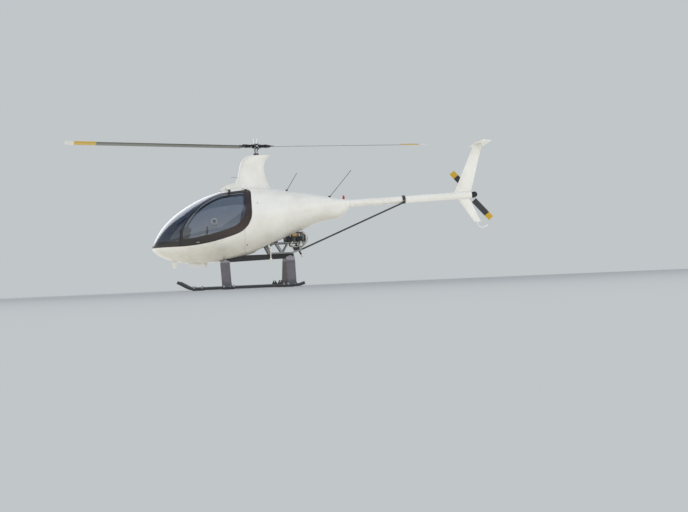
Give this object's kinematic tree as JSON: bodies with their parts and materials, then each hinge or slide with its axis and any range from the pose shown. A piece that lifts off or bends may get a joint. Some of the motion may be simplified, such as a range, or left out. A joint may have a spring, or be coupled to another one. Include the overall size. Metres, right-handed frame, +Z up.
{
  "type": "light helicopter",
  "caption": "Light helicopter on skids with a side-by-side cabin, gull-wing doors, teetering rotor and a boom with fins, tailplane and tail rotor.",
  "frame": {"origin": "on the ground, halfway between the foremost and rearmost point, on the plane of symmetry", "axes": "+X aft, +Y to starboard, +Z up"},
  "size_m": [7.2025, 1.5698, 2.53],
  "materials": {
    "white_gelcoat": "gloss gelcoat over composite",
    "glazing": "tinted acrylic",
    "door_band": "dark painted composite ring",
    "dark_tube": "satin dark grey paint",
    "leg_grey": "satin grey paint",
    "truss_grey": "grey enamel on welded tube",
    "bare_metal": "machined aluminium",
    "steel": "ground steel",
    "cast_alloy": "cast aluminium",
    "exhaust_steel": "stainless tube",
    "blade_paint": "light grey paint, yellow near the tips",
    "tail_blade_paint": "dark grey paint, yellow tips",
    "seat_cloth": "woven cloth",
    "black_plastic": "moulded",
    "lamp_red": "red lens",
    "floor_composite": "painted composite panel"
  },
  "bodies": {
    "airframe": {"cabin_shell": "white_gelcoat", "rear_cowl": "white_gelcoat", "roof_spine": "white_gelcoat", "windscreen": "glazing", "mast_fairing": "white_gelcoat", "pitot_tube": "steel", "keel_beam": "dark_tube", "cabin_floor": "floor_composite", "rear_bulkhead": "floor_composite", "seat_shells": "black_plastic", "seat_cushions": "seat_cloth", "back_cushions": "seat_cloth", "instrument_pod": "black_plastic", "control_sticks": "black_plastic", "pedals": "black_plastic", "collective_lever": "black_plastic", "truss_frame": "truss_grey", "side_post": "white_gelcoat", "main_gearbox": "cast_alloy", "engine": "cast_alloy", "radiator": "black_plastic", "exhaust_pipe": "exhaust_steel", "muffler": "dark_tube", "front_cross_tube": "dark_tube", "rear_cross_tube": "dark_tube", "gear_legs": "leg_grey", "skids": "dark_tube", "skid_shoes": "dark_tube", "wheel_brackets": "dark_tube", "tail_boom": "white_gelcoat", "boom_struts": "dark_tube", "tail_gearbox": "cast_alloy", "upper_fin": "white_gelcoat", "lower_fin": "white_gelcoat", "tailplane": "white_gelcoat", "tail_bumper": "white_gelcoat", "whip_antennas": "black_plastic", "beacon": "lamp_red", "belly_fittings": "white_gelcoat"},
    "main_rotor": {"mast": "steel", "rotor_hub": "bare_metal", "main_blades": "blade_paint"},
    "tail_rotor": {"tail_hub": "bare_metal", "tail_blades": "tail_blade_paint"},
    "door_left": {"door_frame_left": "door_band", "door_pane_left": "glazing", "door_vent_left": "black_plastic"},
    "door_right": {"door_frame_right": "door_band", "door_pane_right": "glazing", "door_vent_right": "black_plastic"}
  },
  "joints": [
    {"name": "main_rotor_spin", "type": "hinge", "parent": "airframe", "child": "main_rotor", "pos_m": [-0.535, 0, 2.3], "axis": [0, 0, 1], "continuous": true},
    {"name": "tail_rotor_spin", "type": "hinge", "parent": "airframe", "child": "tail_rotor", "pos_m": [3.215, 0.1, 1.46452], "axis": [0, 1, 0], "continuous": true},
    {"name": "door_left_lift", "type": "hinge", "parent": "airframe", "child": "door_left", "pos_m": [-0.895, -0.238, 1.672], "axis": [-1, 0, 0], "range_deg": [0, 80]},
    {"name": "door_right_lift", "type": "hinge", "parent": "airframe", "child": "door_right", "pos_m": [-0.895, 0.238, 1.672], "axis": [1, 0, 0], "range_deg": [0, 80]}
  ],
  "couplings": [
    {"joint": "tail_rotor_spin", "follows": "main_rotor_spin", "ratio": 5}
  ]
}
